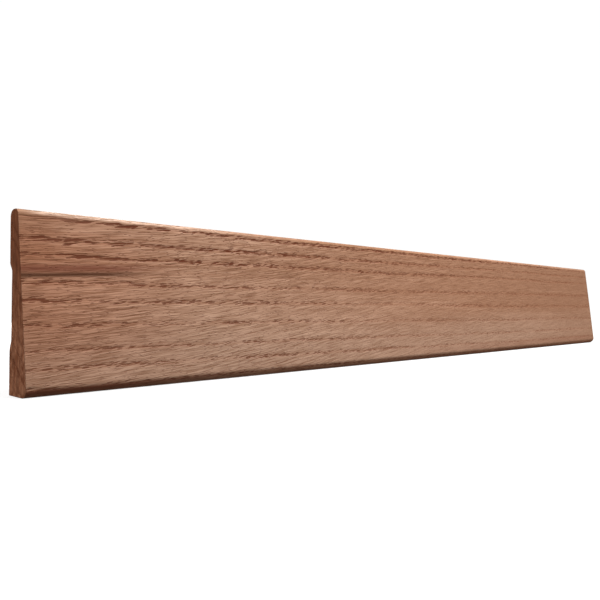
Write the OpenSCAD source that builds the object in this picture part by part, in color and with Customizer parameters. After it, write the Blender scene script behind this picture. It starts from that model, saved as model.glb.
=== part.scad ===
// Solid oak strip with a tapered section: a thin nosed edge, a thick eased edge and a relieved back.
// Millimetres. +X runs along the strip, the back faces +Y and the show face faces -Y.
// +Z goes from the thick edge, which is the base at z = 0, up to the thin edge.
// The origin is at the middle of the box that the strip fills, at the level of the base.

/* [Strip] */
// Length between the two sawn ends
strip_length = 445; // [150:5:2400]
// Height of the section, from the thick edge to the thin edge
strip_height = 57; // [54:0.5:90]
// Greatest thickness, just above the round of the thick edge
thick_edge = 12.2; // [10.5:0.1:18]
// Thickness that the show face would reach at the very top, before it is rounded
thin_edge = 5.2; // [5.2:0.1:9]

/* [Edge rounds] */
// Radius where the show face turns under at the thick edge
base_round = 3; // [1:0.1:4]
// Radius on the show side of the thin edge
nose_front = 2; // [0.8:0.1:2.2]
// Radius on the back side of the thin edge
nose_back = 2.5; // [0.8:0.1:2.6]
// Radius that eases the back corner of the thick edge
back_ease = 0.4; // [0.2:0.1:0.8]

/* [Back relief] */
// Height of the flat land along the thick edge
lower_land = 13.4; // [10:0.2:16]
// Height of the flat land along the thin edge
upper_land = 16.4; // [12:0.2:18]
// Depth of the relief where it starts above the lower land
lower_depth = 1.15; // [0.6:0.05:1.8]
// Depth of the relief where it ends below the upper land
upper_depth = 1.5; // [0.6:0.05:1.8]
// Height of the slope that leaves the lower land
lower_slope = 4.0; // [2:0.2:6]
// Height of the slope that reaches the upper land
upper_slope = 2.6; // [2:0.2:6]

/* [Hidden] */
$fn = 96;
half_thick = thick_edge / 2;
// The relief cutter starts this far behind the back, so that the two lands are cut cleanly
overshoot = 1;

// The show face leans back from the vertical by this angle, from the base round up to the thin edge
face_angle = atan((thick_edge - thin_edge) / (strip_height - base_round));

// Centres of the rounds, as [depth from the back, height]
base_centre = [thick_edge - base_round, base_round];
ease_centre = [back_ease, back_ease];
nose_back_centre = [nose_back, strip_height - nose_back];

// Where the show face leaves the base round
face_foot = base_centre + base_round * [cos(face_angle), sin(face_angle)];
// The front nose round touches both the show face and the top
nose_rise = strip_height - nose_front + nose_front * sin(face_angle) - face_foot[1];
face_head = face_foot + nose_rise * [-tan(face_angle), 1];
nose_front_centre = face_head - nose_front * [cos(face_angle), sin(face_angle)];

// A full round of the outline, in the plane of depth and height
module corner_round(centre, radius) {
    translate(centre) circle(r = radius);
}

// The straight-sided body of the section: it passes through the end of every round
module section_core() {
    polygon([
        [back_ease, 0],
        [base_centre[0], 0],
        base_centre,
        face_foot,
        face_head,
        nose_front_centre,
        [nose_front_centre[0], strip_height],
        [nose_back, strip_height],
        nose_back_centre,
        [0, strip_height - nose_back],
        [0, back_ease],
        ease_centre
    ]);
}

// The shallow hollow that a moulder planes in the back, between the two lands
module back_relief() {
    relief_top = strip_height - upper_land;
    polygon([
        [-overshoot, lower_land],
        [0, lower_land],
        [lower_depth, lower_land + lower_slope],
        [upper_depth, relief_top - upper_slope],
        [0, relief_top],
        [-overshoot, relief_top]
    ]);
}

// The whole section, with depth from the back to the right and height upwards
module section() {
    difference() {
        union() {
            section_core();
            corner_round(base_centre, base_round);
            corner_round(ease_centre, back_ease);
            corner_round(nose_front_centre, nose_front);
            corner_round(nose_back_centre, nose_back);
        }
        back_relief();
    }
}

// One board, milled to the section and sawn square at both ends
module oak_strip() {
    color("#a87a5e")
        translate([0, half_thick, 0])
            rotate([90, 0, 90])
                linear_extrude(height = strip_length, center = true)
                    mirror([1, 0]) section();
}

oak_strip();
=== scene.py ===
import math

import bmesh
import bpy
import numpy as np
from mathutils import Matrix, Vector
from mathutils.geometry import delaunay_2d_cdt


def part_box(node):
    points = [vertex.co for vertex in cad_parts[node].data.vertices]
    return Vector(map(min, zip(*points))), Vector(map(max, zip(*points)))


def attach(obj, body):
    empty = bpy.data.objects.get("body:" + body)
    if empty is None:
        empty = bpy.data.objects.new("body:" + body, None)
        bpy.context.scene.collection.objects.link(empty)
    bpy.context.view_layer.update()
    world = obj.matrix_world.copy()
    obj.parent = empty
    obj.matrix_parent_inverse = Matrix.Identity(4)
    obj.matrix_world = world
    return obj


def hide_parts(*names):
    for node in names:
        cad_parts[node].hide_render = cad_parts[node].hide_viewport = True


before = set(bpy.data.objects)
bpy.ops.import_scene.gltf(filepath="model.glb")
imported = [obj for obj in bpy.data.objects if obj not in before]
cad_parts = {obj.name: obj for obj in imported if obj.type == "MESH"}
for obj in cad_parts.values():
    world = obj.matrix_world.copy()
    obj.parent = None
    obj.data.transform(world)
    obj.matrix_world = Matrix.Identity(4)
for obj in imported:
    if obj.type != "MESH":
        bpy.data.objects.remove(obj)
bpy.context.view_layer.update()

# A milled strip of solid oak: its open pores, growth rings and dark streak, and its two sawn ends.
# Blender works in metres. The wood is described in millimetres, and MM turns one into the other.
MM = 0.001

LOW, HIGH = (np.array(corner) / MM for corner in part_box("oak_strip"))
LENGTH, THICK, HEIGHT = HIGH - LOW

# The section, as the CAD part has it (mm)
THIN_EDGE = 5.2
BASE_ROUND = 3.0
NOSE_FRONT = 2.0
NOSE_BACK = 2.5
BACK_EASE = 0.4
LOWER_LAND = 13.4
UPPER_LAND = 16.4
LOWER_DEPTH = 1.15
UPPER_DEPTH = 1.5
LOWER_SLOPE = 4.0
UPPER_SLOPE = 2.6
FACE_LEAN = math.atan((THICK - THIN_EDGE) / (HEIGHT - BASE_ROUND))

# Steps of the mesh (mm)
FACE_STEP = 0.27
ROUND_STEP = 0.30
PLAIN_STEP = 1.0
SLOPE_STEP = 0.5
LENGTH_STEP = 1.6
END_STEPS = (0.0, 0.10, 0.35, 0.80)
CAP_STEP = 0.42

# How deep the surface's own marks are (mm)
EARLY_DEPTH = 0.04
PORE_DEPTH = 0.09
PLANING_WAVE = 0.02
CHIP_DEPTH = 0.28
WEAR_DEPTH = 0.30
ARRIS_EASE = 0.10
SAW_DEPTH = 0.035
# The saw leaves arcs this far apart, around a centre this far behind the back and below the base.
SAW_STEP = 1.3
SAW_BEHIND = 60.0
SAW_BELOW = 95.0

# The wood (mm). Each growth ring starts with a row of open pores. These are the heights of the rows on
# the show face at the near end, and the rows below the base are the ones that come out at the back.
RING_HEIGHTS = (-16.0, -9.5, -3.5, 2.5, 8.2, 14.1, 21.8, 29.3, 34.8, 43.1, 48.2, 54.4, 61.0)
# A ring slopes into the wood, and its slope grows a little with depth.
RING_SLOPE = 1.1
RING_BEND = 0.012
# The rows spread apart along the strip, up to this much either way from this height.
SPREAD_HEIGHT = 32.5
SPREAD = 2.6
# The early wood reaches further above the start of its ring than below it.
EARLY_ABOVE = 1.0
EARLY_BELOW = 0.65
# The fibres climb towards the far end, most steeply around TILT_PLACE.
TILT = 0.06
TILT_MORE = 0.09
TILT_PLACE = 150.0
TILT_REACH = 110.0
# They also dive into the wood this much for each millimetre.
FIBRE_DIVE = 0.012
# The streak starts at this height at the near end, and climbs this much for each millimetre.
STREAK_HEIGHT = 36.65
STREAK_RISE = 0.045
# Heights on the show face, as the four corners of a rise and a fall: the row along the thin edge, the
# upper rows, and the ones that are denser close to the near end.
LAST_ROW = (52.8, 54.2, 55.4, 56.2)
UPPER_ROWS = (36.0, 42.0, 53.0, 55.0)
DENSE_ROWS = (39.0, 42.0, 49.0, 51.0)
# The contrast of the show face fades in these steps: from, to, and by how much. The back's stays even.
FADE_STEPS = ((20.0, 70.0, 0.18), (60.0, 220.0, 0.28), (240.0, 430.0, 0.18))
BACK_FADE = 0.80
# A point belongs to the back if its normal points less to the front than this.
FRONT_FACING = 0.3

# Groups of open pores: the ranges of their length and width, what the upper rows add to these, the range
# of their depth (1 is the deepest), and how far past both ends they are laid.
GROUP_LENGTH = (3.5, 9.0)
GROUP_WIDTH = (0.14, 0.22)
UPPER_LENGTH = (0.0, 13.0)
UPPER_WIDTH = (0.02, 0.12)
GROUP_DEPTH = (0.35, 0.8)
PORE_OVERRUN = 20.0
FRONT_SEED = 41
BACK_SEED = 43


# ---------------------------------------------------------------- noise
# Each lattice point takes its value from a table of random numbers. The mixers scatter the places.
TABLE_SIZE = 4096
CELL_MIXERS = (1, 57, 1483)
INDEX_MIXER = 40503


def smooth(low, high, value):
    """0 below low, 1 above high, and a smooth rise between them."""
    t = np.clip((value - low) / (high - low), 0.0, 1.0)
    return t * t * (3.0 - 2.0 * t)


def fall(low, high, value):
    """1 below low, 0 above high, and a smooth fall between them."""
    return 1.0 - smooth(low, high, value)


def between(corners, value):
    """0 outside the first and the last corner, 1 between the two inner ones, and smooth slopes."""
    return smooth(corners[0], corners[1], value) * fall(corners[2], corners[3], value)


def lattice_noise(seed, *axes):
    """Smooth noise from -1 to 1 on a lattice of unit cells, one lattice axis for each array given."""
    table = np.random.default_rng(seed).random(TABLE_SIZE) * 2.0 - 1.0
    cells = [np.floor(a).astype(np.int64) for a in axes]
    parts = [a - c for a, c in zip(axes, cells)]
    parts = [p * p * (3.0 - 2.0 * p) for p in parts]
    total = 0.0
    for corner in range(2 ** len(axes)):
        weight = 1.0
        index = 0
        for k, (cell, part) in enumerate(zip(cells, parts)):
            side = (corner >> k) & 1
            weight = weight * (part if side else 1.0 - part)
            index = index + (cell + side) * CELL_MIXERS[k]
        total = total + weight * table[(index * INDEX_MIXER >> 3) % TABLE_SIZE]
    return total


def fractal(seed, octaves, *axes):
    """Several octaves of lattice_noise, each twice as fine and half as strong as the one before."""
    total = 0.0
    size = 0.0
    for k in range(octaves):
        total = total + lattice_noise(seed + k, *[a * 2.0 ** k for a in axes]) / 2.0 ** k
        size += 1.0 / 2.0 ** k
    return total / size


# ---------------------------------------------------------------- the section's outline
def line(start, end, step):
    """Points from start up to, but not including, end."""
    start = np.array(start)
    end = np.array(end)
    count = max(1, round(float(np.linalg.norm(end - start)) / step))
    return [tuple(start + (end - start) * k / count) for k in range(count)]


def arc(centre, radius, start, end):
    """Points on a round from one angle to another, without the last. Angle 0 faces the front."""
    count = max(2, round(abs(end - start) * radius / ROUND_STEP))
    turns = [start + (end - start) * k / count for k in range(count)]
    return [(centre[0] + radius * math.cos(a), centre[1] + radius * math.sin(a)) for a in turns]


def relief_depth(z):
    """How deep the hollow in the back is at height z."""
    top = HEIGHT - UPPER_LAND
    rise = smooth(LOWER_LAND, LOWER_LAND + LOWER_SLOPE, z)
    share = np.clip((z - LOWER_LAND) / (top - LOWER_LAND), 0.0, 1.0)
    depth = LOWER_DEPTH + (UPPER_DEPTH - LOWER_DEPTH) * share
    return rise * fall(top - UPPER_SLOPE, top, z) * depth


def back_line():
    """The back of the section, from the thin edge down to the thick one."""
    relief_top = HEIGHT - UPPER_LAND
    stretches = [
        (HEIGHT - NOSE_BACK, relief_top, PLAIN_STEP),
        (relief_top, relief_top - UPPER_SLOPE, SLOPE_STEP),
        (relief_top - UPPER_SLOPE, LOWER_LAND + LOWER_SLOPE, PLAIN_STEP),
        (LOWER_LAND + LOWER_SLOPE, LOWER_LAND, SLOPE_STEP),
        (LOWER_LAND, BACK_EASE, PLAIN_STEP),
    ]
    points = []
    for start, end, step in stretches:
        for _, z in line((0.0, start), (0.0, end), step):
            points.append((float(relief_depth(z)), z))
    return points


def section_outline():
    """The closed outline as (depth from the back, height): the base, the face, the thin edge, the back."""
    quarter = math.pi / 2.0
    base = np.array([THICK - BASE_ROUND, BASE_ROUND])
    square = np.array([math.cos(FACE_LEAN), math.sin(FACE_LEAN)])
    foot = base + BASE_ROUND * square
    rise = HEIGHT - NOSE_FRONT + NOSE_FRONT * square[1] - foot[1]
    head = foot + rise * np.array([-math.tan(FACE_LEAN), 1.0])
    nose = head - NOSE_FRONT * square
    points = line((BACK_EASE, 0.0), (base[0], 0.0), PLAIN_STEP / 2.0)
    points += arc(base, BASE_ROUND, -quarter, FACE_LEAN)
    points += line(foot, head, FACE_STEP)
    points += arc(nose, NOSE_FRONT, FACE_LEAN, quarter)
    points += line((nose[0], HEIGHT), (NOSE_BACK, HEIGHT), PLAIN_STEP / 2.0)
    points += arc((NOSE_BACK, HEIGHT - NOSE_BACK), NOSE_BACK, quarter, 2.0 * quarter)
    points += back_line()
    points += arc((BACK_EASE, BACK_EASE), BACK_EASE, 2.0 * quarter, 3.0 * quarter)
    return np.array(points)


# ---------------------------------------------------------------- the wood, with x from the near end
def under_face(depth, z):
    """Depth under the show face: 0 on the face, negative inside the wood."""
    return depth - (THICK - (z - BASE_ROUND) * math.tan(FACE_LEAN))


def fibre_tilt(x):
    """How much the fibres climb for each millimetre along the strip."""
    return TILT + TILT_MORE / np.cosh((x - TILT_PLACE) / TILT_REACH) ** 2


def fibre_climb(x):
    """How far a fibre has climbed from the near end to x."""
    return TILT * x + TILT_MORE * TILT_REACH * np.tanh((x - TILT_PLACE) / TILT_REACH)


def ring_place(x, depth, z):
    """The height at which the ring through a point meets the show face at the near end."""
    inside = under_face(depth, z)
    place = z + RING_SLOPE * inside + RING_BEND * inside * inside
    drift = SPREAD * np.tanh((place - SPREAD_HEIGHT) / 7.0) * smooth(-60.0, 400.0, x)
    drift = drift * (1.0 - 0.7 * smooth(50.5, 54.5, place))
    wobble = 0.50 * fractal(11, 2, x / 62.0, place / 9.0) + 0.15 * lattice_noise(17, x / 9.0, place / 4.0)
    return place - drift + wobble


def fibre_space(x, depth, z):
    """Coordinates that follow the fibres: along them, into the wood, and across them."""
    sway = 0.35 * fractal(23, 2, x / 40.0, z / 14.0)
    across = z - fibre_climb(x) + sway
    return np.stack([x, under_face(depth, z) + FIBRE_DIVE * x, across], axis=-1)


def early_wood(rings):
    """1 in the porous wood that starts each ring, 0 in the dense wood between."""
    band = np.zeros_like(rings)
    for height in RING_HEIGHTS:
        away = rings - height
        width = np.where(away > 0.0, EARLY_ABOVE, EARLY_BELOW)
        band = np.maximum(band, np.exp(-(away / width) ** 2))
    return band


def add_pore_group(found, along, across, length, width, depth):
    """Presses one spindle-shaped group of open pores into the array found."""
    body = np.clip(1.0 - (2.0 * along / length) ** 2, 0.0, 1.0) ** 0.6
    np.maximum(found, depth * body * np.exp(-(across / width) ** 2), out=found)


def pore_groups(x, rings, seed):
    """The open pores, 0 on sound wood and 1 in a deep one. x has one value for each row of rings.

    The groups follow one another along each ring. They are longer and wider in the upper rows.
    """
    rng = np.random.default_rng(seed)
    found = np.zeros_like(rings)
    tilt = fibre_tilt(x)[:, None]
    for height in RING_HEIGHTS:
        coarse = float(smooth(20.0, 50.0, height))
        place = -PORE_OVERRUN
        while place < LENGTH + PORE_OVERRUN:
            length = rng.uniform(*GROUP_LENGTH) + coarse * rng.uniform(*UPPER_LENGTH)
            width = rng.uniform(*GROUP_WIDTH) + coarse * rng.uniform(*UPPER_WIDTH)
            depth = rng.uniform(*GROUP_DEPTH) + 0.2 * coarse
            level = height + rng.normal(0.0, 0.45)
            slant = rng.normal(0.0, 0.012)
            for strand in range(rng.integers(1, 4)):
                middle = place + rng.uniform(-0.4, 0.4) * length
                reach = length * rng.uniform(0.6, 1.1)
                strand_level = level + rng.uniform(0.35, 0.55) * strand * rng.choice((-1.0, 1.0))
                within = np.nonzero(np.abs(x - middle) < reach / 2.0)[0]
                if len(within):
                    rows = slice(within[0], within[-1] + 1)
                    along = (x[rows] - middle)[:, None]
                    across = rings[rows] - strand_level - (tilt[rows] + slant) * along
                    add_pore_group(found[rows], along, across, reach, width, depth)
            place += length * rng.uniform(0.35, 1.0)
    return found


def stains(x, depth, z):
    """The dark streak that runs in from the near end, and the redder wood above it."""
    level = z + RING_SLOPE * under_face(depth, z) - STREAK_HEIGHT
    level = level - STREAK_RISE * x + 0.12 * lattice_noise(59, x / 6.0, z / 50.0)
    ragged = x + 5.0 * lattice_noise(61, x / 11.0, z / 0.7)
    streak = np.exp(-(level / 0.75) ** 2) * fall(22.0, 56.0, ragged)
    red = np.exp(-((level - 2.0) / 1.3) ** 2) * fall(25.0, 60.0, ragged)
    return streak, red


def on_crest(z):
    """1 on the very top of the thin edge, 0 on the face below it."""
    return smooth(HEIGHT - 1.9, HEIGHT - 0.6, z)


def under_round(z):
    """1 on the underside and low on the round above it, 0 on the face."""
    return fall(BASE_ROUND - 1.1, BASE_ROUND - 0.2, z)


def marked_areas(x, z):
    """Areas with their own contrast: the row along the thin edge, the upper rows, the low near corner."""
    stronger = smooth(15.0, 55.0, x) * (0.6 + 0.4 * smooth(90.0, 140.0, x)) * fall(300.0, 430.0, x)
    brim = between(LAST_ROW, z) * (stronger - 0.9 * fall(5.0, 30.0, x))
    upper = between(UPPER_ROWS, z) * smooth(22.0, 55.0, x) * fall(150.0, 350.0, x)
    corner = fall(16.0, 24.0, z) * fall(40.0, 90.0, x)
    return brim, upper, corner


def contrast_left(x, brim, upper, corner):
    """How much of the grain's contrast is left: less and less towards the far end."""
    left = 1.0
    for start, end, amount in FADE_STEPS:
        left = left - amount * smooth(start, end, x)
    return left + 0.35 * brim + 0.17 * upper - 0.12 * corner


def early_strength(x, z, rings, brim, upper):
    """How open the early wood is: it comes and goes along a row, and some rows have more of it."""
    gaps = (0.72 + 0.38 * fractal(29, 2, x / 16.0, rings / 3.0)) * (1.0 - 0.85 * on_crest(z))
    denser = between(DENSE_ROWS, z) * fall(6.0, 26.0, x)
    return gaps + 0.36 * brim + 0.30 * denser + 0.15 * upper


def wood_tone(x, z, rings):
    """0 in pale wood and 1 in brown: mottled, and browner far along, high in the middle and close by."""
    mottle = 0.6 * fractal(71, 3, x / 120.0, rings / 6.0) + 0.4 * fractal(83, 2, x / 45.0, rings / 0.9)
    far = 0.34 * smooth(90.0, 300.0, x) * (0.65 + 0.35 * smooth(12.0, 28.0, z))
    far = far + 0.20 * smooth(40.0, 50.0, z) * smooth(90.0, 130.0, x) * fall(180.0, 260.0, x)
    near = fall(2.0, 16.0, x) * (0.20 - 0.10 * smooth(14.0, 20.0, z) + 0.18 * smooth(38.0, 42.0, z))
    return 0.46 + 0.5 * mottle + far + near


def wood_grey(x, z):
    """The greyer lower part of the face, which reaches less high further along."""
    top = 42.0 - 14.0 * smooth(110.0, 260.0, x)
    grey = fall(10.0, top, z + 4.0 * lattice_noise(97, x / 150.0, z / 20.0))
    return grey * (1.0 - under_round(z)) * (1.0 - 0.35 * smooth(300.0, 430.0, x))


def warmth_and_painted_shade(x, z):
    """Redder, darker colour at the near end, partly the wood's own tone and partly painted shade, and
    painted shade along the underside away from it.
    """
    near = fall(2.0, 75.0, x) * smooth(-10.0, 25.0, z) * (1.0 - 0.6 * smooth(46.0, 56.0, z))
    return near + 0.65 * under_round(z) * smooth(30.0, 110.0, x)


def painted_base_shade(x, z):
    """Painted shade: darker colour on the round under the face, mostly at the near end, and on the foot of
    the far face.
    """
    under = under_round(z)
    # Painted shade along the foot of the face further along.
    foot = 0.13 * fall(4.0, 8.0, z) * (1.0 - under) * (smooth(150.0, 300.0, x) + smooth(180.0, 280.0, x))
    # How much painted shade the round gets: strong at the near end, weaker further along, and more again at
    # the very bottom.
    shade_amount = 1.0 - 0.89 * smooth(18.0, 95.0, x) + 0.6 * fall(0.2, 1.6, z) * smooth(30.0, 130.0, x)
    return under * (0.6 + 0.4 * smooth(0.2, 1.6, z)) * shade_amount + foot


def crest_sanding_and_highlight(x, z):
    """Where the crest of the thin edge is sanded smoother and painted paler as a highlight: most of it in
    the near part, and a little further along.
    """
    near = fall(10.0, 130.0, x) * (0.15 + 0.85 * smooth(0.0, 10.0, x))
    return on_crest(z) * (near + 0.19 * smooth(200.0, 330.0, x))


def painted_crest_shade(x, z):
    """Painted shade on the crest of the thin edge, a browner colour that dims its light: around the middle,
    and at the near end.
    """
    middle = 0.58 * smooth(40.0, 180.0, x) * fall(120.0, 300.0, x)
    return smooth(HEIGHT - 2.6, HEIGHT - 1.0, z) * (middle + 0.35 * fall(1.0, 7.0, x))


def wood_fields(x, depth, z):
    """What the wood is like at arrays of points, with painted shade and a painted highlight among them: the
    mesh carries these to the materials.
    """
    rings = ring_place(x, depth, z)
    brim, upper, corner = marked_areas(x, z)
    streak, red = stains(x, depth, z)
    return {
        "rings": rings,
        "fade": contrast_left(x, brim, upper, corner),
        "early": early_wood(rings) * early_strength(x, z, rings, brim, upper),
        "streak": streak,
        "red": red,
        "tone": wood_tone(x, z, rings),
        "grey": wood_grey(x, z),
        # redder wood and painted shade at the near end, painted shade along the underside
        "warm_and_shade": warmth_and_painted_shade(x, z),
        # painted shade on the round under the face and at its foot
        "base_shade": painted_base_shade(x, z),
        # painted highlight on the crest, which also sets its smoother sanding
        "sanding_and_highlight": crest_sanding_and_highlight(x, z),
        # painted shade on the crest of the thin edge
        "over": painted_crest_shade(x, z),
    }


# ---------------------------------------------------------------- the mesh
def length_places():
    """Where along the strip the section is repeated, closer together at the two ends."""
    inner = LENGTH - 2.0 * END_STEPS[-1]
    count = round(inner / LENGTH_STEP)
    middle = [END_STEPS[-1] + inner * k / count for k in range(1, count)]
    return np.array(list(END_STEPS) + middle + [LENGTH - s for s in reversed(END_STEPS)])


def outward(outline):
    """The outline's unit normals, which point out of the wood."""
    step = np.roll(outline, -1, axis=0) - np.roll(outline, 1, axis=0)
    normal = np.stack([step[:, 1], -step[:, 0]], axis=-1)
    return normal / np.linalg.norm(normal, axis=1, keepdims=True)


def side_lift(x, depth, z, fields, behind):
    """How far the long sides stand out from the section: pores, planing, chips and eased arrises."""
    lift = -(EARLY_DEPTH * fields["early"] + PORE_DEPTH * fields["pore"]) * fields["fade"]
    lift = lift + PLANING_WAVE * fractal(5, 2, x / 55.0, z / 16.0 + depth / 9.0)
    chip = np.exp(-((x - 1.5) / 1.4) ** 2 - ((z - 2.9) / 0.5) ** 2) * ~behind
    worn = np.exp(-((LENGTH - x) / 1.1) ** 2) * fall(0.5, 4.0, z) * ~behind
    lift = lift - CHIP_DEPTH * chip - WEAR_DEPTH * worn
    nicks = 1.0 + 0.4 * lattice_noise(7, z / 0.6 + 3.0 * depth, x / 80.0)
    at_end = np.minimum(x, LENGTH - x) < END_STEPS[1] / 2.0
    return lift - np.where(at_end, ARRIS_EASE * nicks, 0.0)


def side_surface():
    """The long sides: points with one row for each place along the strip, and the wood's fields there."""
    outline = section_outline()
    normal = outward(outline)
    places = length_places()
    shape = (len(places), len(outline))
    x = np.broadcast_to(places[:, None], shape).copy()
    depth = np.broadcast_to(outline[None, :, 0], shape).copy()
    z = np.broadcast_to(outline[None, :, 1], shape).copy()
    fields = wood_fields(x, depth, z)
    behind = np.broadcast_to(normal[None, :, 0] < FRONT_FACING, shape)
    front_pores = pore_groups(places, fields["rings"], FRONT_SEED)
    back_pores = pore_groups(places, fields["rings"], BACK_SEED)
    # The pores are mostly closed on the crest, and finer away from the near end.
    closed = 0.8 * on_crest(z)
    finer = 0.12 + 0.30 * smooth(5.0, 100.0, x)
    fields["pore"] = np.where(behind, back_pores, front_pores) * (1.0 - closed) * (1.0 - finer)
    fields["fade"] = np.where(behind, BACK_FADE, fields["fade"])
    lift = side_lift(x, depth, z, fields, behind)
    return x, depth + lift * normal[None, :, 0], z + lift * normal[None, :, 1], fields


def inside_ring(point, ring):
    """True if a point lies inside the closed ring."""
    follow = np.roll(ring, -1, axis=0)
    crossed = (ring[:, 1] > point[1]) != (follow[:, 1] > point[1])
    start = ring[crossed]
    end = follow[crossed]
    share = (point[1] - start[:, 1]) / (end[:, 1] - start[:, 1])
    meets = start[:, 0] + share * (end[:, 0] - start[:, 0])
    return bool(np.sum(point[0] < meets) % 2)


def cap_triangles(ring):
    """A flat end as points and triangles: the outline's ring first, then points on a grid inside it."""
    low = ring.min(axis=0)
    high = ring.max(axis=0)
    across = np.arange(low[0], high[0], CAP_STEP)
    upward = np.arange(low[1], high[1], CAP_STEP)
    grid = [(a, b) for a in across for b in upward]
    margin = 0.6 * CAP_STEP
    clear = [p for p in grid if np.min(np.hypot(ring[:, 0] - p[0], ring[:, 1] - p[1])) > margin]
    inner = [p for p in clear if inside_ring(p, ring)]
    points = [Vector(p) for p in ring.tolist() + inner]
    loop = list(range(len(ring)))
    result = delaunay_2d_cdt(points, [], [loop], 1, 1e-7)
    return np.array([tuple(v) for v in result[0]]), [tuple(f) for f in result[2]]


def saw_relief(depth, z):
    """How far a sawn end lies under its plane: arcs from the blade, and torn fibre."""
    radius = np.hypot(depth + SAW_BEHIND, z + SAW_BELOW)
    even = 0.012 * np.sin(radius * 2.0 * math.pi / SAW_STEP)
    uneven = 0.008 * lattice_noise(13, radius / 0.8, depth / 30.0)
    return SAW_DEPTH - (even + uneven) - 0.018 * fractal(19, 2, depth / 0.9, z / 0.9)


def cap_surface(ring, place):
    """One sawn end: its points, its triangles, and the wood's fields there."""
    points, triangles = cap_triangles(ring)
    depth = points[:, 0]
    z = points[:, 1]
    inner = np.arange(len(points)) >= len(ring)
    sunk = np.where(inner, saw_relief(depth, z), 0.0)
    inward = 1.0 if place < LENGTH / 2.0 else -1.0
    x = place + inward * sunk
    fields = wood_fields(x, depth, z)
    fields["pore"] = np.zeros_like(x)
    return x, depth, z, triangles, fields


def to_row_frame(x, depth, z):
    """Millimetres from the near end, the back and the base, as metres in the row frame."""
    return np.stack([x + LOW[0], HIGH[1] - depth, z + LOW[2]], axis=-1) * MM


# The fields that the mesh keeps: three together under one name, and the rest alone
TOGETHER = {
    "cells": ("early", "pore", "tone"),
    "stains": ("streak", "red", "grey"),
    "shades": ("warm_and_shade", "base_shade", "sanding_and_highlight"),
}
ALONE = ("fade", "over")


def store(mesh, name, kind, values):
    """Keeps one value for each point of the mesh under a name that a material can read."""
    layer = mesh.attributes.new(name, kind, "POINT")
    key = "vector" if kind == "FLOAT_VECTOR" else "value"
    layer.data.foreach_set(key, np.ascontiguousarray(values, dtype=np.float32).ravel())


def store_fields(mesh, values):
    """Keeps the wood's fields on the mesh. values has one column for each field."""
    for k, name in enumerate(TOGETHER):
        store(mesh, name, "FLOAT_VECTOR", values[:, 3 * k:3 * k + 3])
    for k, name in enumerate(ALONE, 3 * len(TOGETHER)):
        store(mesh, name, "FLOAT", values[:, k])


def side_quads(rows, columns):
    """The long sides' quads as corner numbers, with the outline's last point joined to its first."""
    here = np.arange(rows * columns).reshape(rows, columns)
    beside = np.roll(here, -1, axis=1)
    return np.stack([here[:-1], here[1:], beside[1:], beside[:-1]], axis=-1).reshape(-1, 4)


def strip_surface():
    """The whole strip's points, fibre coordinates, fields and faces, and how many faces are long sides."""
    x, depth, z, fields = side_surface()
    rows, columns = x.shape
    names = [name for group in TOGETHER.values() for name in group] + list(ALONE)
    places = [to_row_frame(x, depth, z).reshape(-1, 3)]
    grain = [fibre_space(x, depth, z).reshape(-1, 3)]
    values = [np.stack([fields[n].ravel() for n in names], axis=-1)]
    faces = [tuple(q) for q in side_quads(rows, columns).tolist()]
    side_count = len(faces)
    total = rows * columns
    for row, place in ((0, 0.0), (rows - 1, LENGTH)):
        ring = np.stack([depth[row], z[row]], axis=-1)
        cap_x, cap_depth, cap_z, triangles, cap_fields = cap_surface(ring, place)
        added = slice(columns, None)
        places.append(to_row_frame(cap_x, cap_depth, cap_z)[added])
        grain.append(fibre_space(cap_x, cap_depth, cap_z)[added])
        values.append(np.stack([cap_fields[n] for n in names], axis=-1)[added])
        for corners in triangles:
            moved = [row * columns + c if c < columns else total + c - columns for c in corners]
            faces.append(tuple(moved) if row else tuple(reversed(moved)))
        total += len(cap_x) - columns
    return np.concatenate(places), np.concatenate(grain), np.concatenate(values), faces, side_count


def strip_piece():
    """The whole strip as one closed mesh, with one material on its long sides and another on its ends."""
    places, grain, values, faces, side_count = strip_surface()
    mesh = bpy.data.meshes.new("oak_strip_milled")
    mesh.from_pydata(places.tolist(), [], faces)
    store(mesh, "grain", "FLOAT_VECTOR", grain)
    store_fields(mesh, values)
    mesh.materials.append(oak_side_material())
    mesh.materials.append(oak_end_material())
    is_end = np.arange(len(faces)) >= side_count
    mesh.polygons.foreach_set("material_index", is_end.astype(np.int32))
    mesh.polygons.foreach_set("use_smooth", np.ones(len(faces), dtype=bool))
    mesh.update()
    mesh.set_sharp_from_angle(angle=math.radians(35.0))
    piece = bpy.data.objects.new("oak_strip_milled", mesh)
    bpy.context.scene.collection.objects.link(piece)
    return piece


# ---------------------------------------------------------------- node helpers
def add(tree, kind, inputs=None, **settings):
    """A new node. settings are its own properties; inputs are values or links for its sockets."""
    new = tree.nodes.new(kind)
    for name, value in settings.items():
        setattr(new, name, value)
    for name, value in (inputs or {}).items():
        if isinstance(value, bpy.types.NodeSocket):
            tree.links.new(value, new.inputs[name])
        else:
            new.inputs[name].default_value = value
    return new


def math_of(tree, operation, first, second):
    """The result of one sum."""
    return add(tree, "ShaderNodeMath", {0: first, 1: second}, operation=operation).outputs[0]


def times(tree, first, second):
    """The product of two values."""
    return math_of(tree, "MULTIPLY", first, second)


def ramp(tree, value, low, high, start=0.0, end=1.0):
    """A smooth step from start, where value is low, to end, where it is high."""
    inputs = {"Value": value, "From Min": low, "From Max": high, "To Min": start, "To Max": end}
    return add(tree, "ShaderNodeMapRange", inputs, interpolation_type="SMOOTHSTEP").outputs["Result"]


def tint(tree, amount, under, over, mode="MIX"):
    """One colour laid over another."""
    settings = {"data_type": "RGBA", "blend_type": mode}
    return add(tree, "ShaderNodeMix", {0: amount, 6: under, 7: over}, **settings).outputs[2]


def layered(tree, colour, layers):
    """A colour with others laid over it, one (amount, colour) after another."""
    for amount, over in layers:
        colour = tint(tree, amount, colour, over)
    return colour


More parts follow.
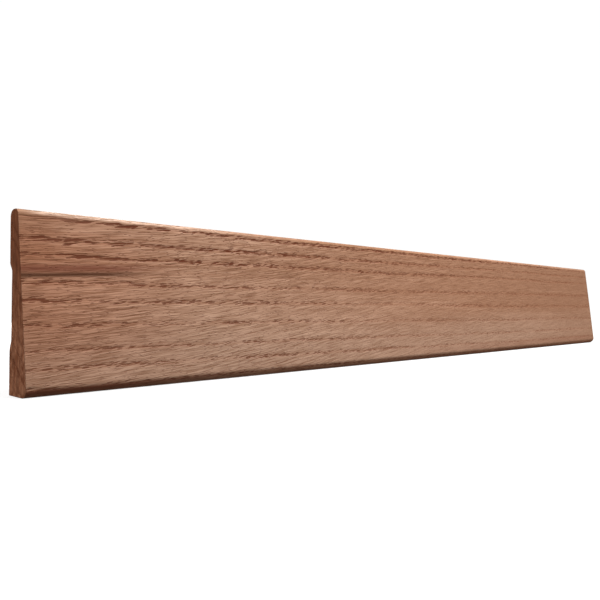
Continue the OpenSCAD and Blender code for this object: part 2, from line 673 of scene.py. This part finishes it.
def attribute(tree, name, output="Vector"):
    """What the mesh keeps under a name: three numbers together, or one with Fac as the output."""
    return add(tree, "ShaderNodeAttribute", attribute_name=name).outputs[output]


def split(tree, vector):
    """A vector's three numbers."""
    return add(tree, "ShaderNodeSeparateXYZ", {0: vector}).outputs


def wood_on_mesh(tree):
    """The wood's fields by name, as the mesh carries them."""
    wood = {}
    for name, members in TOGETHER.items():
        wood.update(zip(members, split(tree, attribute(tree, name))))
    for name in ALONE:
        wood[name] = attribute(tree, name, "Fac")
    return wood


def vector_math(tree, operation, first, second):
    """The result of one sum on vectors."""
    return add(tree, "ShaderNodeVectorMath", {0: first, 1: second}, operation=operation).outputs[0]


def stretched(tree, vector, sizes, shift):
    """A vector in millimetres, divided by the sizes of a texture's marks. shift picks another pattern."""
    scaled = vector_math(tree, "MULTIPLY", vector, tuple(1.0 / s for s in sizes))
    return vector_math(tree, "ADD", scaled, (shift, shift, shift))


def noise(tree, vector, sizes, detail, shift=0.0):
    """Noise around 0.5, with marks of the sizes given."""
    place = stretched(tree, vector, sizes, shift)
    inputs = {"Vector": place, "Scale": 1.0, "Detail": detail, "Roughness": 0.55}
    return add(tree, "ShaderNodeTexNoise", inputs).outputs["Fac"]


def nearest(tree, vector, sizes, shift=0.0):
    """Distance to the nearest of many scattered points, one in each cell of the sizes given."""
    inputs = {"Vector": stretched(tree, vector, sizes, shift), "Scale": 1.0, "Randomness": 1.0}
    return add(tree, "ShaderNodeTexVoronoi", inputs).outputs["Distance"]


BARE_WOOD_SHINE = 0.12


def new_material(name, roughness):
    """A material with one Principled shader, and its tree and shader."""
    material = bpy.data.materials.new(name)
    material.use_nodes = True
    tree = material.node_tree
    shader = tree.nodes["Principled BSDF"]
    shader.inputs["Roughness"].default_value = roughness
    shader.inputs["Specular IOR Level"].default_value = BARE_WOOD_SHINE
    return material, tree, shader


def press(tree, shader, height, depth):
    """Small relief that the mesh is too coarse for. depth is in millimetres."""
    bump = add(tree, "ShaderNodeBump", {"Height": height, "Strength": 1.0, "Distance": depth * MM})
    tree.links.new(bump.outputs["Normal"], shader.inputs["Normal"])


# ---------------------------------------------------------------- materials
# Colours in linear light. The four DARK_ and LIGHT_ ones multiply what lies under them.
PALE_OAK = (0.480, 0.262, 0.164, 1.0)
BROWN_OAK = (0.340, 0.166, 0.094, 1.0)
GREY_OAK = (0.412, 0.244, 0.162, 1.0)
EARLY_OAK = (0.300, 0.105, 0.045, 1.0)
LINE_OAK = (0.185, 0.068, 0.031, 1.0)
DARK_FIBRE = (0.700, 0.655, 0.600, 1.0)
LIGHT_FIBRE = (1.270, 1.390, 1.500, 1.0)
PORE_OAK = (0.120, 0.024, 0.006, 1.0)
RED_OAK = (0.180, 0.050, 0.025, 1.0)
# A painted highlight on the crest of the thin edge.
HIGHLIGHT_OAK = (0.600, 0.400, 0.285, 1.0)
# Redder wood and painted shade at the near end, and painted shade on the underside.
WARM_SHADE_OAK = (0.360, 0.120, 0.052, 1.0)
# Painted shade on the round under the face and at its foot.
BASE_SHADE_OAK = (0.222, 0.073, 0.037, 1.0)
# Painted shade that dims the crest of the thin edge.
CREST_SHADE_OAK = (0.238, 0.113, 0.052, 1.0)
STREAK_OAK = (0.070, 0.020, 0.005, 1.0)
END_PALE = (0.530, 0.230, 0.127, 1.0)
END_DARK = (0.270, 0.090, 0.040, 1.0)
DARK_VEIN = (0.780, 0.760, 0.740, 1.0)
LIGHT_VEIN = (1.260, 1.260, 1.240, 1.0)

# Sizes of the marks on planed wood: along the fibres, into the wood and across them (mm)
WAVER_SIZE = (4.5, 2.0, 2.4)
FIBRE_SIZE = (11.0, 0.6, 0.32)
LINE_SIZE = (7.0, 0.8, 0.34)
SPECK_SIZE = (3.4, 0.8, 0.42)
DASH_SIZE = (9.0, 1.2, 0.66)
# The marks grow finer over this much of the near end.
FINER_BY = 100.0
# Sizes of the marks on the sawn ends: along x, y and z (mm), and the angle of the rays in degrees
END_PORE_SIZE = (4.0, 0.42, 0.42)
RAY_SIZE = (6.0, 9.0, 0.42)
MOTTLE_SIZE = (5.0, 1.6, 2.4)
VEIN_SIZE = (5.0, 0.9, 5.0)
FUZZ_SIZE = (1.0, 0.30, 0.30)
RAY_ANGLE = -42.0
# How far the bump presses the two kinds of surface (mm)
SIDE_BUMP = 0.10
END_BUMP = 0.07


def pressed_into(tree, reach, distance, blur):
    """1 where a scattered point is nearer than reach, 0 further away, with a narrow rim between."""
    return ramp(tree, math_of(tree, "SUBTRACT", reach, distance), -blur, blur)


def open_pores(tree, grain, along, wood, fibre):
    """1 in an open pore: fine specks, dashes in the early wood, and the groups pressed into the mesh.

    The specks grow stronger and the dashes smaller away from the near end.
    """
    specks = nearest(tree, grain, SPECK_SIZE, 31.0)
    dashes = nearest(tree, grain, DASH_SIZE, 53.0)
    speck_mask = pressed_into(tree, ramp(tree, wood["early"], 0.0, 0.8, 0.17, 0.45), specks, 0.05)
    speck_amount = times(tree, speck_mask, ramp(tree, along, 0.0, FINER_BY, 0.80, 1.0))
    finer_in_grey = ramp(tree, wood["grey"], 0.0, 1.0, 1.0, 0.6)
    coarse = times(tree, finer_in_grey, ramp(tree, along, 0.0, FINER_BY, 0.94, 0.68))
    dash_reach = times(tree, ramp(tree, wood["early"], 0.15, 0.8, 0.0, 0.50), coarse)
    dash_mask = pressed_into(tree, dash_reach, dashes, 0.05)
    ragged = times(tree, math_of(tree, "SUBTRACT", fibre, 0.5), 0.8)
    pore_mask = ramp(tree, math_of(tree, "ADD", wood["pore"], ragged), 0.36, 0.52)
    found = math_of(tree, "MAXIMUM", speck_amount, times(tree, dash_mask, 0.85))
    found = math_of(tree, "MAXIMUM", found, times(tree, pore_mask, 0.90))
    return times(tree, found, wood["fade"])


def side_colour(tree, wood, fibre, line_mask, open_mask):
    """The planed wood's colour: broad tones and the crest's painted highlight first, then fibre, lines,
    stains, painted shade and pores over them.
    """
    colour = tint(tree, ramp(tree, wood["tone"], 0.25, 0.75), PALE_OAK, BROWN_OAK)
    colour = layered(tree, colour, (
        (times(tree, wood["grey"], 0.75), GREY_OAK),
        # redder wood and painted shade at the near end, painted shade along the underside
        (times(tree, wood["warm_and_shade"], 0.50), WARM_SHADE_OAK),
        # painted highlight on the crest of the thin edge
        (times(tree, wood["sanding_and_highlight"], 0.75), HIGHLIGHT_OAK),
    ))
    contrast = tint(tree, ramp(tree, fibre, 0.34, 0.66), DARK_FIBRE, LIGHT_FIBRE)
    colour = tint(tree, wood["fade"], colour, contrast, "MULTIPLY")
    return layered(tree, colour, (
        (times(tree, times(tree, line_mask, 0.62), wood["fade"]), LINE_OAK),
        (times(tree, wood["early"], 0.26), EARLY_OAK),
        (times(tree, wood["red"], 0.82), RED_OAK),
        # painted shade on the round under the face and at its foot
        (wood["base_shade"], BASE_SHADE_OAK),
        # painted shade on the crest of the thin edge
        (wood["over"], CREST_SHADE_OAK),
        (open_mask, PORE_OAK),
        (times(tree, wood["streak"], 0.95), STREAK_OAK),
    ))


def oak_side_material():
    """Planed oak: fine fibre, short dark lines, and pores that gather in the early wood of each ring."""
    material, tree, shader = new_material("oak_planed", 0.65)
    wood = wood_on_mesh(tree)
    straight = attribute(tree, "grain")
    waver = noise(tree, straight, WAVER_SIZE, 2.0, 7.0)
    waved = add(tree, "ShaderNodeCombineXYZ", {2: times(tree, waver, 0.45)}).outputs[0]
    grain = vector_math(tree, "ADD", straight, waved)
    fibre = noise(tree, grain, FIBRE_SIZE, 3.0)
    lines = noise(tree, grain, LINE_SIZE, 1.0, 17.0)
    line_mask = ramp(tree, lines, 0.56, 0.64)
    open_mask = open_pores(tree, grain, split(tree, straight)["X"], wood, fibre)
    colour = side_colour(tree, wood, fibre, line_mask, open_mask)
    tree.links.new(colour, shader.inputs["Base Color"])
    planed = ramp(tree, fibre, 0.2, 0.8, 0.58, 0.72)
    # The crest is sanded smoother where its painted highlight lies.
    sanded = math_of(tree, "SUBTRACT", planed, times(tree, wood["sanding_and_highlight"], 0.26))
    tree.links.new(sanded, shader.inputs["Roughness"])
    open_grain = math_of(tree, "MAXIMUM", times(tree, line_mask, 0.35), open_mask)
    height = math_of(tree, "SUBTRACT", times(tree, fibre, 0.6), open_grain)
    press(tree, shader, height, SIDE_BUMP)
    return material


def oak_end_material():
    """Sawn end grain: round pores, darker where a ring starts, crossed by fine rays and broad mottling."""
    material, tree, shader = new_material("oak_sawn_end", 0.78)
    wood = wood_on_mesh(tree)
    metres = add(tree, "ShaderNodeTexCoord").outputs["Object"]
    place = vector_math(tree, "MULTIPLY", metres, (1.0 / MM, 1.0 / MM, 1.0 / MM))
    pores = nearest(tree, place, END_PORE_SIZE)
    reach = ramp(tree, wood["early"], 0.0, 0.9, 0.16, 0.46)
    pore_mask = ramp(tree, math_of(tree, "SUBTRACT", reach, pores), -0.05, 0.08)
    turn = {"Vector": place, "Angle": math.radians(RAY_ANGLE)}
    turned = add(tree, "ShaderNodeVectorRotate", turn, rotation_type="X_AXIS").outputs[0]
    ray_mask = ramp(tree, noise(tree, turned, RAY_SIZE, 2.0), 0.56, 0.70)
    mottle = noise(tree, place, MOTTLE_SIZE, 3.0, 5.0)
    upper = ramp(tree, split(tree, place)["Z"], 8.0, 46.0, 0.0, 0.95)
    colour = tint(tree, ramp(tree, mottle, 0.3, 0.7), END_PALE, END_DARK)
    colour = tint(tree, upper, colour, END_DARK)
    veins = noise(tree, place, VEIN_SIZE, 3.0, 21.0)
    contrast = tint(tree, ramp(tree, veins, 0.32, 0.68), DARK_VEIN, LIGHT_VEIN)
    colour = tint(tree, 1.0, colour, contrast, "MULTIPLY")
    colour = layered(tree, colour, (
        (times(tree, wood["early"], 0.35), END_DARK),
        (times(tree, ray_mask, 0.30), BROWN_OAK),
        (times(tree, wood["red"], 0.20), RED_OAK),
        (times(tree, pore_mask, 0.60), PORE_OAK),
        (times(tree, wood["streak"], 0.20), STREAK_OAK),
    ))
    tree.links.new(colour, shader.inputs["Base Color"])
    fuzz = noise(tree, place, FUZZ_SIZE, 3.0, 9.0)
    press(tree, shader, math_of(tree, "SUBTRACT", fuzz, pore_mask), END_BUMP)
    return material


# ---------------------------------------------------------------- the stage
# The stage reaches this far from the strip, in metres
STAGE_REACH = 10.0
FLOOR_COLOUR = (0.30, 0.30, 0.30, 1.0)
FLOOR_GLOW = 0.85
BACKDROP_COLOUR = (0.0, 0.0, 0.0, 1.0)
BACKDROP_GLOW = 1.02
WHITE = (1.0, 1.0, 1.0, 1.0)
# The world's brightness above and below, and how far above and below the horizon it changes
SKY = 0.16
GROUND = 0.09
HORIZON = 0.2


def stage_mesh(name, mesh, colour, glow):
    """A part of the stage. It lights nothing on the strip, and shows there in no reflection or shadow."""
    material, _, shader = new_material(name, 0.9)
    shader.inputs["Base Color"].default_value = colour
    shader.inputs["Specular IOR Level"].default_value = 0.0
    shader.inputs["Emission Color"].default_value = WHITE
    shader.inputs["Emission Strength"].default_value = glow
    mesh.materials.append(material)
    piece = bpy.data.objects.new(name, mesh)
    bpy.context.scene.collection.objects.link(piece)
    piece.location.z = LOW[2] * MM
    piece.visible_diffuse = False
    piece.visible_glossy = False
    piece.visible_shadow = False


def pale_floor():
    """A plain pale floor."""
    near = -STAGE_REACH
    far = STAGE_REACH
    corners = [(near, near, 0.0), (far, near, 0.0), (far, far, 0.0), (near, far, 0.0)]
    mesh = bpy.data.meshes.new("floor")
    mesh.from_pydata(corners, [], [(0, 1, 2, 3)])
    stage_mesh("floor", mesh, FLOOR_COLOUR, FLOOR_GLOW)


def pale_backdrop():
    """A plain white dome around the stage."""
    mesh = bpy.data.meshes.new("backdrop")
    dome = bmesh.new()
    bmesh.ops.create_uvsphere(dome, u_segments=48, v_segments=24, radius=STAGE_REACH)
    dome.to_mesh(mesh)
    dome.free()
    stage_mesh("backdrop", mesh, BACKDROP_COLOUR, BACKDROP_GLOW)


def soft_world():
    """A little even light from above, and less from below."""
    world = bpy.data.worlds.new("studio")
    world.use_nodes = True
    bpy.context.scene.world = world
    tree = world.node_tree
    toward = add(tree, "ShaderNodeTexCoord").outputs["Generated"]
    brightness = ramp(tree, split(tree, toward)["Z"], -HORIZON, HORIZON, GROUND, SKY)
    tree.links.new(brightness, tree.nodes["Background"].inputs["Strength"])
    tree.nodes["Background"].inputs["Color"].default_value = WHITE


def soft_light(name, place, target, size, power):
    """A soft box of size (width, height) at a place, turned to its target, all in metres."""
    light = bpy.data.lights.new(name, "AREA")
    light.shape = "RECTANGLE"
    light.size = size[0]
    light.size_y = size[1]
    light.energy = power
    holder = bpy.data.objects.new(name, light)
    holder.location = place
    holder.rotation_euler = (Vector(target) - Vector(place)).to_track_quat("-Z", "Y").to_euler()
    bpy.context.scene.collection.objects.link(holder)


def broad_light(name, toward, power, spread):
    """Light from far away and from a wide patch of sky. spread is the patch's width in degrees."""
    light = bpy.data.lights.new(name, "SUN")
    light.energy = power
    light.angle = math.radians(spread)
    holder = bpy.data.objects.new(name, light)
    holder.rotation_euler = Vector(toward).to_track_quat("Z", "Y").to_euler()
    bpy.context.scene.collection.objects.link(holder)


# Where the key light comes from, its strength, and the width of its patch of sky in degrees
KEY_TOWARD = (0.20, -0.30, 0.93)
KEY_POWER = 1.85
KEY_SPREAD = 10.0
# The soft boxes: name, place, target and size in metres, and power in watts
SOFT_BOXES = (
    ("overhead", (-0.05, -0.075, 0.33), (-0.05, 0.0, 0.05), (0.20, 0.04), 1.0),
    ("front", (0.30, -0.30, 0.55), (0.10, 0.0, 0.03), (0.30, 0.12), 1.5),
    ("low", (0.32, -0.66, 0.10), (0.08, 0.0, 0.03), (0.30, 0.12), 1.5),
    ("fill", (-0.75, 0.02, 0.15), (-0.2, 0.0, 0.03), (0.30, 0.30), 1.0),
    ("back", (0.10, 0.65, 0.22), (0.0, 0.0, 0.03), (0.50, 0.25), 4.5),
)

# The camera stands near the left end and looks along the show face (mm, degrees, and the lens in mm)
CAMERA_LEFT_OF_END = 83.0
CAMERA_BEFORE_BACK = 203.97
CAMERA_ABOVE_BASE = 28.88
CAMERA_YAW = 44.042
CAMERA_PITCH = 0.286
CAMERA_ROLL = 0.420
CAMERA_LENS = 39.458


def photo_camera():
    """The camera at the photograph's viewing angle."""
    yaw, pitch, roll = (math.radians(a) for a in (CAMERA_YAW, CAMERA_PITCH, CAMERA_ROLL))
    flat = math.cos(pitch)
    ahead = Vector((math.cos(yaw) * flat, math.sin(yaw) * flat, math.sin(pitch)))
    level = Vector((math.sin(yaw), -math.cos(yaw), 0.0))
    above = level.cross(ahead)
    right = level * math.cos(roll) + above * math.sin(roll)
    up = above * math.cos(roll) - level * math.sin(roll)
    data = bpy.data.cameras.new("camera")
    data.lens = CAMERA_LENS
    data.clip_start = 0.01
    camera = bpy.data.objects.new("camera", data)
    turn = Matrix((right, up, -ahead)).transposed()
    x = LOW[0] - CAMERA_LEFT_OF_END
    y = HIGH[1] - CAMERA_BEFORE_BACK
    z = LOW[2] + CAMERA_ABOVE_BASE
    camera.matrix_world = Matrix.Translation(Vector((x, y, z)) * MM) @ turn.to_4x4()
    bpy.context.scene.collection.objects.link(camera)
    bpy.context.scene.camera = camera


# ---------------------------------------------------------------- the scene
strip = strip_piece()
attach(strip, "root")
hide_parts("oak_strip")

pale_floor()
pale_backdrop()
soft_world()
broad_light("key", KEY_TOWARD, KEY_POWER, KEY_SPREAD)
for light_name, light_place, light_target, light_size, light_power in SOFT_BOXES:
    soft_light(light_name, light_place, light_target, light_size, light_power)
photo_camera()
bpy.context.scene.view_settings.view_transform = "Standard"

bpy.context.view_layer.update()
